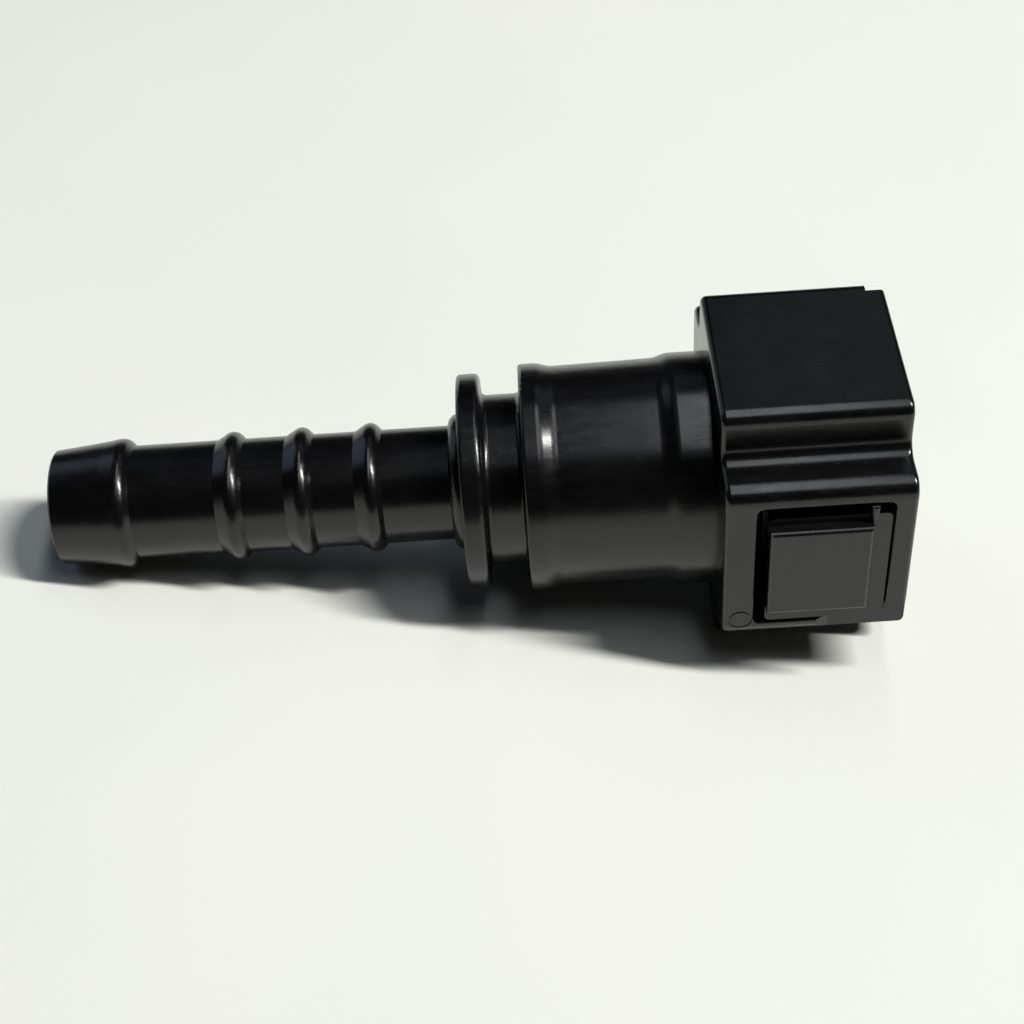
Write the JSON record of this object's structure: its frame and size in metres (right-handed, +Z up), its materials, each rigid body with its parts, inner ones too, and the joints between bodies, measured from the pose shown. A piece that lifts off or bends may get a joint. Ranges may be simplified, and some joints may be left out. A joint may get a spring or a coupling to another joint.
{
  "type": "push-button quick connector",
  "caption": "Straight plastic quick connector with a barbed hose stem, sealed tube socket and squeeze-to-release side buttons.",
  "frame": {"origin": "on the axis at the stop that the plugged-in tube meets, half way along the part", "axes": "+X along the axis from the hose stem to the mouth, +Z up, release buttons on -Y and +Y"},
  "size_m": [0.058, 0.0218, 0.0208],
  "materials": {
    "body_nylon": "satin black glass-filled nylon",
    "retainer_nylon": "satin black nylon",
    "insert_nylon": "dark grey nylon",
    "seal_rubber": "black fluoroelastomer"
  },
  "bodies": {
    "housing": {"connector_body": "body_nylon", "inner_o_ring": "seal_rubber", "spacer_ring": "insert_nylon", "outer_o_ring": "seal_rubber", "seal_retaining_bush": "insert_nylon", "retainer_spring_arms": "retainer_nylon"},
    "front_button": {"release_button_front": "retainer_nylon"},
    "rear_button": {"release_button_rear": "retainer_nylon"},
    "upper_jaw": {"latch_jaw_upper": "retainer_nylon"},
    "lower_jaw": {"latch_jaw_lower": "retainer_nylon"}
  },
  "joints": [
    {"name": "front_button_press", "type": "slide", "parent": "housing", "child": "front_button", "axis": [0, 1, 0], "range_m": [0, 0.0013], "stiffness_N_per_m": 3000, "deforming": ["retainer_spring_arms"]},
    {"name": "rear_button_press", "type": "slide", "parent": "housing", "child": "rear_button", "axis": [0, -1, 0], "range_m": [0, 0.0013]},
    {"name": "upper_jaw_release", "type": "slide", "parent": "housing", "child": "upper_jaw", "axis": [0, 0, 1], "range_m": [0, 0.0016]},
    {"name": "lower_jaw_release", "type": "slide", "parent": "housing", "child": "lower_jaw", "axis": [0, 0, -1], "range_m": [0, 0.0016]}
  ],
  "couplings": [
    {"joint": "rear_button_press", "follows": "front_button_press", "ratio": 1},
    {"joint": "upper_jaw_release", "follows": "front_button_press", "ratio": 1.23},
    {"joint": "lower_jaw_release", "follows": "front_button_press", "ratio": 1.23}
  ]
}
